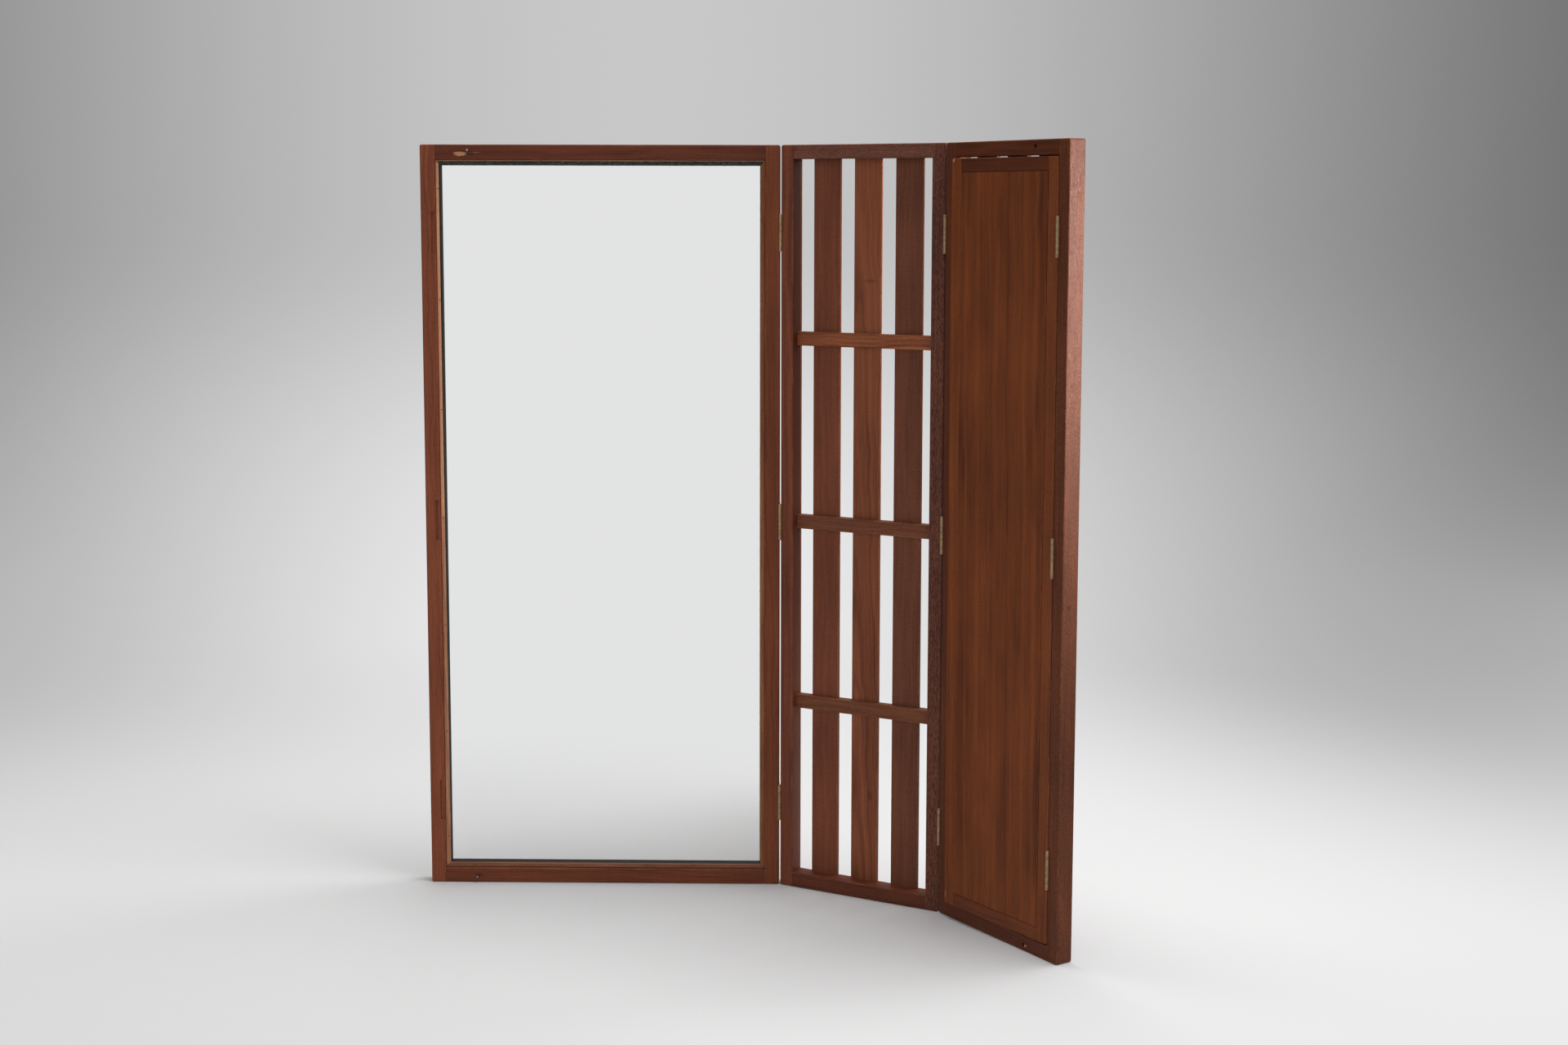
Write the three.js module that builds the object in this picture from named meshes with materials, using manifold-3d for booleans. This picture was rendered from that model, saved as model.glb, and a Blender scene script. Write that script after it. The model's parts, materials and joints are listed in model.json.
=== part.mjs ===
// Folding mirror in teak: a framed mirror, two slatted shutters and a narrow mirror door, hung on butt hinges.
// Millimetres, +Z up, +Y to the back. The origin is on the floor, at mid-width and mid-thickness of the mirror.
import * as THREE from 'three';
import { mergeVertices } from 'three/addons/utils/BufferGeometryUtils.js';
import Module from 'manifold-3d';

const wasm = await Module();
wasm.setup();

// Overall sizes
const height = 1000;
const mirrorWidth = 475;
const thickness = 24.5;

// The pose: how far each panel is folded forward out of line, in degrees
const middleFold = 28;
const outerFold = 28;
const doorOpening = 1.8;

// Frame members: width seen from the front
const mirrorStile = 19.5;
const mirrorRail = 20;
const shutterStile = 18.5;
const shutterTopRail = 18.5;
const shutterBottomRail = 19.5;
const edgeRound = 1.5;
const cornerRound = 2.5;
const arris = 0.8;

// Fits between pieces
const clearance = 0.3;
const overcut = 2;

// Stub tenons on the rails, on the crossbars and in the thin door: start is measured from the front face
const railTenon = { length: 10, start: 5.5, thickness: 8, shoulder: 3.5 };
const barTenon = { length: 8, start: 12.5, thickness: 4.5, shoulder: 3 };
const doorTenon = { length: 8, start: 3.2, thickness: 3.4, shoulder: 3 };

// Glazing of the mirror, from the back: a flush panel in a rebate, the glass on it, four mitred beads in front
const backPanelThickness = 8;
const backPanelRebate = 6;
const glassThickness = 3;
const beadWidth = 6.3;
const beadSetBack = 5;
const beadEase = 1.4;
const mitreGap = 0.2;

// Slats and the crossbars that are notched over them
const slatCount = 3;
const slatWidth = 38.6;
const slatThickness = 6.2;
const slatEase = 0.8;
const slatHousing = 10;
const crossbarPlaces = ['bottom', 'centre', 'top'];
const crossbarHeight = 18.5;
const crossbarSetBack = 11.5;

// Door in the outer shutter
const doorThickness = 10;
const doorStile = 18.5;
const doorRail = 17;
const doorGap = 1;
const doorTopGap = 1.8;
const doorPanelThickness = 4;
const doorLip = { width: 4, thickness: 2.3 };
const doorEdgeRound = 0.8;

// Butt hinges: five knuckles round one pin, whose centre stands in front of the panels
const jointGap = 1;
const pinOffset = 0.8;
const hingeLength = 48.5;
const hingeInset = 115;
const knuckleCount = 5;
const knuckleRadius = 2.2;
const pinRadius = 1.05;
const pinHead = 0.5;
const leafThickness = 1;
const leafParting = 0.3;
const panelLeafDepth = 17;
const doorLeafDepth = 9;
const leafScrewRadius = 1.5;
const leafScrewPitch = 17;
const leafScrewSides = 10;
const roundSides = 12;

// Locating pins that enter the outer shutter when the panels are folded shut
const locatingPin = { inset: 63, fromEnd: 8, radius: 1.75, sunk: 8, proud: 5 };
const pinTipSteps = 3;
const locatingHole = { radius: 2.5, depth: 9 };

// Hollows that take the door's knuckles when the panels are folded shut
const knuckleRecess = { length: 54, reach: 5.5, depth: 3 };

// Sizes that follow from the ones above
const shutterWidth = (mirrorWidth - jointGap) / 2;
const hingeHeights = { top: height - hingeInset, middle: height / 2, bottom: hingeInset };
const doorAxis = shutterWidth - shutterStile - jointGap / 2;
const doorWidth = doorAxis - jointGap / 2 - shutterStile - doorGap;
const doorBottom = shutterBottomRail + doorGap;
const doorHeight = height - shutterTopRail - doorTopGap - doorBottom;

const finish = (color, roughness, metalness = 0) => new THREE.MeshStandardMaterial({ color, roughness, metalness });
const materials = {
  frame: finish(0x6b3a28, 0.55),
  rail: finish(0x5a2f20, 0.55),
  slat: finish(0x6a3c2a, 0.6),
  bead: finish(0xb5815c, 0.6),
  veneer: finish(0x6e3c1f, 0.5),
  mirror: finish(0xd8dcdc, 0.03, 1),
  brass: finish(0x8c7850, 0.45, 0.9),
  steel: finish(0xb0a8a4, 0.35, 0.9),
};

// ---- solids

function toSolid(geometry) {
  const bare = geometry.clone();
  bare.deleteAttribute('normal');
  bare.deleteAttribute('uv');
  const { attributes, index } = mergeVertices(bare);
  const triangles = [];
  for (let i = 0; i < index.count; i += 3) {
    const [a, b, c] = [index.getX(i), index.getX(i + 1), index.getX(i + 2)];
    if (a !== b && b !== c && c !== a) triangles.push(a, b, c);
  }
  const vertProperties = new Float32Array(attributes.position.array);
  return new wasm.Manifold(new wasm.Mesh({ numProp: 3, vertProperties, triVerts: new Uint32Array(triangles) }));
}

function toGeometry(solid) {
  const { vertProperties, triVerts } = solid.getMesh();
  const shared = new THREE.BufferGeometry();
  shared.setAttribute('position', new THREE.BufferAttribute(vertProperties, 3));
  shared.setIndex(new THREE.BufferAttribute(triVerts, 1));
  const geometry = shared.toNonIndexed();
  geometry.computeVertexNormals();
  return geometry;
}

const grow = ([low, high], by) => [low - by, high + by];

function block([x0, x1], [y0, y1], [z0, z1]) {
  const geometry = new THREE.BoxGeometry(x1 - x0, y1 - y0, z1 - z0);
  geometry.translate((x0 + x1) / 2, (y0 + y1) / 2, (z0 + z1) / 2);
  return toSolid(geometry);
}

function cylinder(radius, [low, high], direction, x, y, z, sides = roundSides) {
  const geometry = new THREE.CylinderGeometry(radius, radius, high - low, sides);
  geometry.translate(0, (low + high) / 2, 0);
  if (direction === 'z') geometry.rotateX(Math.PI / 2);
  if (direction === 'x') geometry.rotateZ(-Math.PI / 2);
  return toSolid(geometry.translate(x, y, z));
}

function roundedOutline([a0, a1], [b0, b1], radius) {
  const outline = new THREE.Shape();
  outline.moveTo(a0 + radius, b0);
  outline.absarc(a1 - radius, b0 + radius, radius, -Math.PI / 2, 0);
  outline.absarc(a1 - radius, b1 - radius, radius, 0, Math.PI / 2);
  outline.absarc(a0 + radius, b1 - radius, radius, Math.PI / 2, Math.PI);
  outline.absarc(a0 + radius, b0 + radius, radius, Math.PI, Math.PI * 1.5);
  return outline;
}

const axisX = new THREE.Vector3(1, 0, 0);
const axisY = new THREE.Vector3(0, 1, 0);
const axisZ = new THREE.Vector3(0, 0, 1);

// An upright stick: its section is rounded in plan
function upright(xRange, yRange, [z0, z1], radius) {
  const outline = roundedOutline(xRange, yRange, radius);
  const geometry = new THREE.ExtrudeGeometry(outline, { depth: z1 - z0, bevelEnabled: false, curveSegments: 1 });
  return toSolid(geometry.translate(0, 0, z0));
}

// A level stick: its section is rounded as seen from its end
function level([x0, x1], yRange, zRange, radius) {
  const outline = roundedOutline(yRange, zRange, radius);
  const geometry = new THREE.ExtrudeGeometry(outline, { depth: x1 - x0, bevelEnabled: false, curveSegments: 1 });
  geometry.applyMatrix4(new THREE.Matrix4().makeBasis(axisY, axisZ, axisX));
  return toSolid(geometry.translate(x0, 0, 0));
}

// Everything that a front outline covers, between two depths
function plate(outline, [y0, y1], round = 0) {
  const depth = y1 - y0 - 2 * round;
  const bevel = { bevelThickness: round, bevelSize: round, bevelOffset: -round, bevelSegments: 2 };
  const options = { depth, bevelEnabled: round > 0, curveSegments: 2, ...bevel };
  const geometry = new THREE.ExtrudeGeometry(outline, options);
  geometry.applyMatrix4(new THREE.Matrix4().makeBasis(axisX, axisZ, axisY.clone().negate()));
  return toSolid(geometry.translate(0, y1 - round, 0));
}

// The whole panel as one board with eased edges, which its members are cut from
const easedBoard = (width, tall, deep, round) =>
  plate(roundedOutline([0, width], [0, tall], cornerRound), [0, deep], round);

// A chamfer round the front of an opening, as the wedge of air that it leaves
function flare([x0, x1], y, [z0, z1], size) {
  const geometry = new THREE.BoxGeometry(x1 - x0, 2 * size, z1 - z0);
  const position = geometry.attributes.position;
  for (let i = 0; i < position.count; i += 1) {
    if (position.getY(i) > 0) continue;
    position.setX(i, position.getX(i) + Math.sign(position.getX(i)) * 2 * size);
    position.setZ(i, position.getZ(i) + Math.sign(position.getZ(i)) * 2 * size);
  }
  return toSolid(geometry.translate((x0 + x1) / 2, y, (z0 + z1) / 2));
}

const cutAll = (solid, cutters) => cutters.reduce((rest, cutter) => rest.subtract(cutter), solid);
const joinAll = (solids) => solids.reduce((whole, solid) => whole.add(solid));

// ---- frames: two full-height stiles, two rails tenoned between them

function tenonPair([x0, x1], [z0, z1], tenon, by = 0) {
  const yRange = grow([tenon.start, tenon.start + tenon.thickness], by);
  const zRange = grow([z0 + tenon.shoulder, z1 - tenon.shoulder], by);
  const left = block([x0 - tenon.length - by, x0 + overcut], yRange, zRange);
  const right = block([x1 - overcut, x1 + tenon.length + by], yRange, zRange);
  return left.add(right);
}

function makeFrame({ width, tall, deep, stile, topRail, bottomRail, tenon, round }) {
  const board = easedBoard(width, tall, deep, round);
  const inside = [stile, width - stile];
  const span = grow(inside, -clearance);
  const top = [tall - topRail, tall];
  const bottom = [0, bottomRail];
  const through = [-overcut, deep + overcut];
  const mortises = [top, bottom].map((zRange) => tenonPair(inside, zRange, tenon, clearance));
  const chamfer = flare(inside, 0, [bottomRail, tall - topRail], arris);
  const stick = (xRange, zRange) => block(xRange, through, zRange).intersect(board).subtract(chamfer);
  const railOf = (zRange) => stick(span, zRange).add(tenonPair(span, zRange, tenon));
  const full = grow([0, tall], overcut);
  return {
    left_stile: cutAll(stick([-overcut, stile], full), mortises),
    right_stile: cutAll(stick([width - stile, width + overcut], full), mortises),
    top_rail: railOf(top),
    bottom_rail: railOf(bottom),
  };
}

// ---- hinges, about a pin along Z at x = 0, y = 0; side is -1 or 1, where the leaf's panel lies

const knucklePitch = hingeLength / knuckleCount;

function knuckleSpan(number) {
  const low = -hingeLength / 2 + number * knucklePitch;
  const firstGap = number === 0 ? 0 : leafParting / 2;
  const lastGap = number === knuckleCount - 1 ? 0 : leafParting / 2;
  return [low + firstGap, low + knucklePitch - lastGap];
}

const spin = (points) => {
  const profile = points.map(([radius, z]) => new THREE.Vector2(radius, z));
  return toSolid(new THREE.LatheGeometry(profile, roundSides).rotateX(Math.PI / 2));
};

// The pin with the outer knuckles on it: its heads slope down to the rims of the knuckles
function pinnedKnuckles(own) {
  const end = hingeLength / 2;
  const points = [[0, -end - pinHead], [pinRadius, -end - pinHead]];
  for (let number = 0; number < knuckleCount; number += 1) {
    if (!own.includes(number)) continue;
    const [low, high] = knuckleSpan(number);
    if (number > 0) points.push([pinRadius, low]);
    points.push([knuckleRadius, low], [knuckleRadius, high]);
    if (number < knuckleCount - 1) points.push([pinRadius, high]);
  }
  points.push([pinRadius, end + pinHead], [0, end + pinHead]);
  return spin(points);
}

function openKnuckle([low, high]) {
  const bore = pinRadius + clearance;
  return spin([[bore, low], [knuckleRadius, low], [knuckleRadius, high], [bore, high], [bore, low]]);
}

function leafPlate(side, leafDepth, own) {
  const near = leafParting / 2;
  const far = near + leafThickness;
  const xRange = side > 0 ? [near, far] : [-far, -near];
  const root = knuckleRadius + clearance;
  const flat = block(xRange, [root, leafDepth], [-hingeLength / 2, hingeLength / 2]);
  const rise = Math.sqrt((pinRadius + clearance) ** 2 - near ** 2) + leafParting / 2;
  const tongues = own.map((number) => block(xRange, [rise, root + clearance], knuckleSpan(number)));
  const screwY = (root + leafDepth) / 2;
  const holes = [-1, 0, 1].map((step) =>
    cylinder(leafScrewRadius, [-overcut, overcut], 'x', 0, screwY, step * leafScrewPitch, leafScrewSides));
  return cutAll(joinAll([flat, ...tongues]), holes);
}

const pinnedNumbers = [0, 2, 4];
const swingingNumbers = [1, 3];

const pinnedLeaf = (side, leafDepth) =>
  pinnedKnuckles(pinnedNumbers).add(leafPlate(side, leafDepth, pinnedNumbers));

const swingingLeaf = (side, leafDepth) =>
  joinAll([leafPlate(side, leafDepth, swingingNumbers),
    ...swingingNumbers.map((number) => openKnuckle(knuckleSpan(number)))]);

// The housing that a stile needs for a leaf and its knuckles
function hingeHousing(side, leafDepth, x, z) {
  const half = hingeLength / 2 + clearance;
  const far = leafParting / 2 + leafThickness + clearance;
  const xRange = side > 0 ? [x, x + far] : [x - far, x];
  const housing = block(xRange, [-pinOffset, leafDepth + clearance - pinOffset], [z - half, z + half]);
  const swept = (knuckleRadius + clearance) / Math.cos(Math.PI / roundSides);
  const hollow = cylinder(swept, grow([-half, half], pinHead), 'z', x, -pinOffset, z);
  return housing.add(hollow);
}

const housings = (side, leafDepth, x, lift = 0) =>
  Object.values(hingeHeights).map((z) => hingeHousing(side, leafDepth, x, z - lift));

// ---- scene graph

function addPiece(group, name, solid, material) {
  const mesh = new THREE.Mesh(toGeometry(solid), material);
  mesh.name = name;
  group.add(mesh);
  return mesh;
}

function childGroup(parent, x, y, z, turn = 0) {
  const group = new THREE.Group();
  group.position.set(x, y, z);
  group.rotation.z = THREE.MathUtils.degToRad(turn);
  parent.add(group);
  return group;
}

// Three hinges on one pin line: the pinned leaves on the panel that carries, the others on the one that swings
function addHinges(name, carrier, carrierX, carrierSide, swinger, leafDepth) {
  const carried = childGroup(carrier, carrierX, 0, 0);
  for (const [place, z] of Object.entries(hingeHeights)) {
    const fixed = addPiece(carried, `${name}_hinge_${place}_pinned_leaf`,
      pinnedLeaf(carrierSide, leafDepth), materials.brass);
    const swung = addPiece(swinger, `${name}_hinge_${place}_swinging_leaf`,
      swingingLeaf(-carrierSide, leafDepth), materials.brass);
    fixed.position.z = z;
    swung.position.z = z;
  }
}

// ---- the mirror panel

function knuckleRecesses() {
  const foldedAxis = shutterWidth - doorAxis;
  const xRange = [foldedAxis - knuckleRecess.reach, mirrorStile + overcut];
  return Object.values(hingeHeights).map((z) =>
    block(xRange, [-overcut, knuckleRecess.depth], grow([z, z], knuckleRecess.length / 2)));
}

const pinHeights = { top: height - locatingPin.fromEnd, bottom: locatingPin.fromEnd };

function addMirrorPanel(parent) {
  const panel = childGroup(parent, -mirrorWidth / 2, -thickness / 2, 0);
  const frame = makeFrame({
    width: mirrorWidth, tall: height, deep: thickness, stile: mirrorStile,
    topRail: mirrorRail, bottomRail: mirrorRail, tenon: railTenon, round: edgeRound,
  });
  const insideX = [mirrorStile, mirrorWidth - mirrorStile];
  const insideZ = [mirrorRail, height - mirrorRail];
  const backX = grow(insideX, backPanelRebate);
  const backZ = grow(insideZ, backPanelRebate);
  const backFront = thickness - backPanelThickness;
  const rebate = block(backX, [backFront - clearance, thickness + overcut], backZ);
  const pinBores = Object.values(pinHeights).map((z) =>
    cylinder(locatingPin.radius + clearance, [-overcut, locatingPin.sunk + clearance], 'y', locatingPin.inset, 0, z));
  const cuts = {
    left_stile: [rebate, ...knuckleRecesses()],
    right_stile: [rebate, ...housings(-1, panelLeafDepth, mirrorWidth + jointGap / 2)],
    top_rail: [rebate, ...pinBores],
    bottom_rail: [rebate, ...pinBores],
  };
  for (const [name, solid] of Object.entries(frame)) {
    const material = name.endsWith('stile') ? materials.frame : materials.rail;
    addPiece(panel, `mirror_${name}`, cutAll(solid, cuts[name]), material);
  }

  const back = block(grow(backX, -clearance), [backFront, thickness], grow(backZ, -clearance));
  addPiece(panel, 'mirror_back_panel', back, materials.veneer);
  const glassBack = backFront - clearance;
  const glassFront = glassBack - glassThickness;
  const glassX = grow(insideX, -clearance);
  const glassZ = grow(insideZ, -clearance);
  addPiece(panel, 'mirror_glass', block(glassX, [glassFront, glassBack], glassZ), materials.mirror);

  const beadY = [beadSetBack, glassFront - clearance];
  const beads = mitredBeads(glassX, beadY, glassZ);
  for (const [side, solid] of Object.entries(beads)) addPiece(panel, `bead_${side}`, solid, materials.bead);

  for (const [place, z] of Object.entries(pinHeights)) {
    const pin = addPiece(panel, `locating_pin_${place}`, locatingPinSolid(), materials.steel);
    pin.position.set(locatingPin.inset, 0, z);
  }
  return panel;
}

// Four beads cut from one ring: eased along the glass, mitred at the corners
function mitredBeads([x0, x1], yRange, [z0, z1]) {
  const innerX = [x0 + beadWidth, x1 - beadWidth];
  const innerZ = [z0 + beadWidth, z1 - beadWidth];
  const through = grow(yRange, overcut);
  const ring = cutAll(block([x0, x1], yRange, [z0, z1]), [
    block(innerX, through, innerZ),
    flare(innerX, yRange[0], innerZ, beadEase),
  ]);
  const outer = [[x0, z0], [x1, z0], [x1, z1], [x0, z1]];
  const inner = [[innerX[0], innerZ[0]], [innerX[1], innerZ[0]], [innerX[1], innerZ[1]], [innerX[0], innerZ[1]]];
  const sides = ['bottom', 'right', 'top', 'left'];
  const beads = {};
  sides.forEach((side, i) => {
    const next = (i + 1) % sides.length;
    const along = new THREE.Vector2(...outer[next]).sub(new THREE.Vector2(...outer[i])).setLength(mitreGap);
    const corner = ([x, z], sign) => new THREE.Vector2(x, z).addScaledVector(along, sign);
    const trapezium = [corner(outer[i], 1), corner(outer[next], -1), corner(inner[next], -1), corner(inner[i], 1)];
    beads[side] = ring.intersect(plate(new THREE.Shape(trapezium), through));
  });
  return beads;
}

function locatingPinSolid() {
  const { radius, sunk, proud } = locatingPin;
  const shoulder = proud - radius;
  const tip = Array.from({ length: pinTipSteps }, (_, step) => {
    const angle = ((step + 1) / pinTipSteps) * (Math.PI / 2);
    return [radius * Math.cos(angle), shoulder + radius * Math.sin(angle)];
  });
  return toSolid(new THREE.LatheGeometry(
    [[0, -sunk], [radius, -sunk], [radius, shoulder], ...tip].map(([r, y]) => new THREE.Vector2(r, y)),
    roundSides,
  ).rotateX(Math.PI));
}

// ---- the slatted shutters

const slatGap = (shutterWidth - 2 * shutterStile - slatCount * slatWidth) / (slatCount + 1);
const slatY = [thickness - clearance - slatThickness, thickness - clearance];
const slatZ = [shutterBottomRail - slatHousing, height - shutterTopRail + slatHousing];

function slatRanges() {
  const pitch = slatWidth + slatGap;
  return [...Array(slatCount).keys()].map((number) => {
    const start = shutterStile + slatGap + number * pitch;
    return [start, start + slatWidth];
  });
}

// Crossbars spaced so that all the openings are as tall as each other
function crossbarRanges() {
  const count = crossbarPlaces.length;
  const open = height - shutterTopRail - shutterBottomRail - count * crossbarHeight;
  const pitch = open / (count + 1) + crossbarHeight;
  return crossbarPlaces.map((place, number) => {
    const high = shutterBottomRail + (number + 1) * pitch;
    return [place, [high - crossbarHeight, high]];
  });
}

function addShutter(parent, name, extraCuts) {
  const panel = childGroup(parent, jointGap / 2, pinOffset, 0);
  const frame = makeFrame({
    width: shutterWidth, tall: height, deep: thickness, stile: shutterStile,
    topRail: shutterTopRail, bottomRail: shutterBottomRail, tenon: railTenon, round: edgeRound,
  });
  const inside = [shutterStile, shutterWidth - shutterStile];
  const span = grow(inside, -clearance);
  const slats = slatRanges();
  const housingY = [slatY[0] - clearance, thickness + overcut];
  const notches = slats.map((xRange) => block(grow(xRange, clearance), housingY, grow(slatZ, clearance)));
  const bars = crossbarRanges();
  const mortises = bars.map(([, zRange]) => tenonPair(inside, zRange, barTenon, clearance));
  const cuts = {
    left_stile: [...mortises, ...housings(1, panelLeafDepth, -jointGap / 2)],
    right_stile: [...mortises],
    top_rail: [...notches],
    bottom_rail: [...notches],
  };
  for (const [piece, solid] of Object.entries(frame)) {
    const material = piece.endsWith('stile') ? materials.frame : materials.rail;
    addPiece(panel, `${name}_${piece}`, cutAll(solid, [...cuts[piece], ...(extraCuts[piece] ?? [])]), material);
  }
  for (const [place, zRange] of bars) {
    const stick = level(span, [crossbarSetBack, thickness], zRange, arris);
    const bar = cutAll(stick, notches).add(tenonPair(span, zRange, barTenon));
    addPiece(panel, `${name}_crossbar_${place}`, bar, materials.rail);
  }
  const places = ['left', 'centre', 'right'];
  slats.forEach((xRange, number) => {
    addPiece(panel, `${name}_slat_${places[number]}`, upright(xRange, slatY, slatZ, slatEase), materials.slat);
  });
  return panel;
}

// ---- the door: a thin frame with a lip behind, the glass on the lip and a veneered panel flush in front

function addDoor(parent) {
  const panel = childGroup(parent, -jointGap / 2 - doorWidth, pinOffset, doorBottom);
  const frame = makeFrame({
    width: doorWidth, tall: doorHeight, deep: doorThickness, stile: doorStile,
    topRail: doorRail, bottomRail: doorRail, tenon: doorTenon, round: doorEdgeRound,
  });
  const insideX = [doorStile, doorWidth - doorStile];
  const insideZ = [doorRail, doorHeight - doorRail];
  const lipY = [doorThickness - doorLip.thickness, doorThickness];
  const lipX = grow(insideX, -doorLip.width);
  const railLipX = grow(lipX, -clearance);
  const lips = {
    left_stile: block([insideX[0] - arris, lipX[0]], lipY, grow(insideZ, -clearance)),
    right_stile: block([lipX[1], insideX[1] + arris], lipY, grow(insideZ, -clearance)),
    top_rail: block(railLipX, lipY, [insideZ[1] - doorLip.width, insideZ[1] + arris]),
    bottom_rail: block(railLipX, lipY, [insideZ[0] - arris, insideZ[0] + doorLip.width]),
  };
  const cuts = { right_stile: housings(-1, doorLeafDepth, doorWidth + jointGap / 2, doorBottom) };
  const names = { left_stile: 'free_stile', right_stile: 'hinge_stile' };
  for (const [piece, solid] of Object.entries(frame)) {
    const material = piece.endsWith('stile') ? materials.frame : materials.rail;
    addPiece(panel, `door_${names[piece] ?? piece}`, cutAll(solid.add(lips[piece]), cuts[piece] ?? []), material);
  }
  const glassY = [lipY[0] - clearance - glassThickness, lipY[0] - clearance];
  const glassX = grow(insideX, -clearance);
  const glassZ = grow(insideZ, -clearance);
  addPiece(panel, 'door_glass', block(glassX, glassY, glassZ), materials.mirror);
  const veneer = block(glassX, [0, doorPanelThickness], glassZ);
  addPiece(panel, 'door_panel', veneer, materials.veneer);
}

// ---- assembly

const shutterMirror = new THREE.Group();
addMirrorPanel(shutterMirror);

const frontY = -thickness / 2 - pinOffset;
const middle = childGroup(shutterMirror, mirrorWidth / 2 + jointGap / 2, frontY, 0, -middleFold);
addShutter(middle, 'middle', {
  right_stile: housings(-1, panelLeafDepth, shutterWidth + jointGap / 2),
});
const mirrorPinLine = childGroup(shutterMirror, 0, frontY, 0);
addHinges('inner', mirrorPinLine, mirrorWidth / 2 + jointGap / 2, -1, middle, panelLeafDepth);

const outer = childGroup(middle, shutterWidth + jointGap, 0, 0, -outerFold);
const locatingHoles = Object.values(pinHeights).map((z) =>
  cylinder(locatingHole.radius, [-overcut, locatingHole.depth], 'y', shutterWidth - locatingPin.inset, 0, z));
addShutter(outer, 'outer', {
  top_rail: locatingHoles,
  bottom_rail: locatingHoles,
  right_stile: housings(1, doorLeafDepth, doorAxis),
});
addHinges('outer', middle, shutterWidth + jointGap, -1, outer, panelLeafDepth);

const door = childGroup(outer, jointGap / 2 + doorAxis, 0, 0, doorOpening);
addDoor(door);
addHinges('door', outer, jointGap / 2 + doorAxis, 1, door, doorLeafDepth);

export default shutterMirror;
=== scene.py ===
import json
import math

import bpy
from mathutils import Matrix, Vector

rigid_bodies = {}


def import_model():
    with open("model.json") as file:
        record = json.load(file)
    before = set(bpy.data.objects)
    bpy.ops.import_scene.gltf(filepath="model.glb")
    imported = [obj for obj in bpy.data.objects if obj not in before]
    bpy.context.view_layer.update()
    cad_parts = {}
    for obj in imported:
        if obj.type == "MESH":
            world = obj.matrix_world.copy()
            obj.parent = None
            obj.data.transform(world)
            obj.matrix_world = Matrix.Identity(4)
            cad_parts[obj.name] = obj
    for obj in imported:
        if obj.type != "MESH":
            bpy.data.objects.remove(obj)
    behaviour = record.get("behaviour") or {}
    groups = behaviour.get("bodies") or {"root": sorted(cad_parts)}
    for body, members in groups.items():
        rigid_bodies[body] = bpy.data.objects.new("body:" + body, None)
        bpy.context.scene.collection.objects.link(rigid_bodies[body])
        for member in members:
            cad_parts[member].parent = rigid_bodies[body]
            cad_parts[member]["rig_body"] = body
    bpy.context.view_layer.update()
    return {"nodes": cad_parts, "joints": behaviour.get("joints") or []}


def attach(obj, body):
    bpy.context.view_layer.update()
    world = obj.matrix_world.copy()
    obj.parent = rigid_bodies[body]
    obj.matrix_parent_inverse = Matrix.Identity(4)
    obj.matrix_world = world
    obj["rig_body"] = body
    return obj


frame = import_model()
nodes = frame["nodes"]
print("frame loaded:", len(nodes), "pieces")

mm = 0.001
scene = bpy.context.scene


# Camera: found from the edges of the frames in the photograph, with its place in metres and turns in degrees
view = {
    "lens": 49.2,
    "place": (0.2905, -2.8515, 0.9215),
    "down": 6.575,
    "left": 0.953,
    "roll": 0.114,
    "shift": -0.045,
    "farthest": 1000,
}


def addCamera():
    data = bpy.data.cameras.new("camera")
    data.lens = view["lens"]
    data.shift_y = view["shift"]
    data.clip_end = view["farthest"]
    camera = bpy.data.objects.new("camera", data)
    turn = Matrix.Rotation(math.radians(view["left"]), 4, "Z")
    tilt = Matrix.Rotation(math.radians(90 - view["down"]), 4, "X")
    roll = Matrix.Rotation(math.radians(view["roll"]), 4, "Z")
    camera.matrix_world = Matrix.Translation(view["place"]) @ turn @ tilt @ roll
    scene.collection.objects.link(camera)
    scene.camera = camera


addCamera()
scene.view_settings.view_transform = "Standard"
print("camera set")


# Shader maths: a socket that can be added, multiplied and so on, and the tree that it is in
class Socket:
    def __init__(self, finish, socket):
        self.finish = finish
        self.socket = socket

    def __add__(self, other):
        return self.finish.math("ADD", self, other)

    def __sub__(self, other):
        return self.finish.math("SUBTRACT", self, other)

    def __rsub__(self, other):
        return self.finish.math("SUBTRACT", other, self)

    def __mul__(self, other):
        return self.finish.math("MULTIPLY", self, other)

    def __truediv__(self, other):
        return self.finish.math("DIVIDE", self, other)

    def __rtruediv__(self, other):
        return self.finish.math("DIVIDE", other, self)

    __radd__ = __add__
    __rmul__ = __mul__


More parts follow.
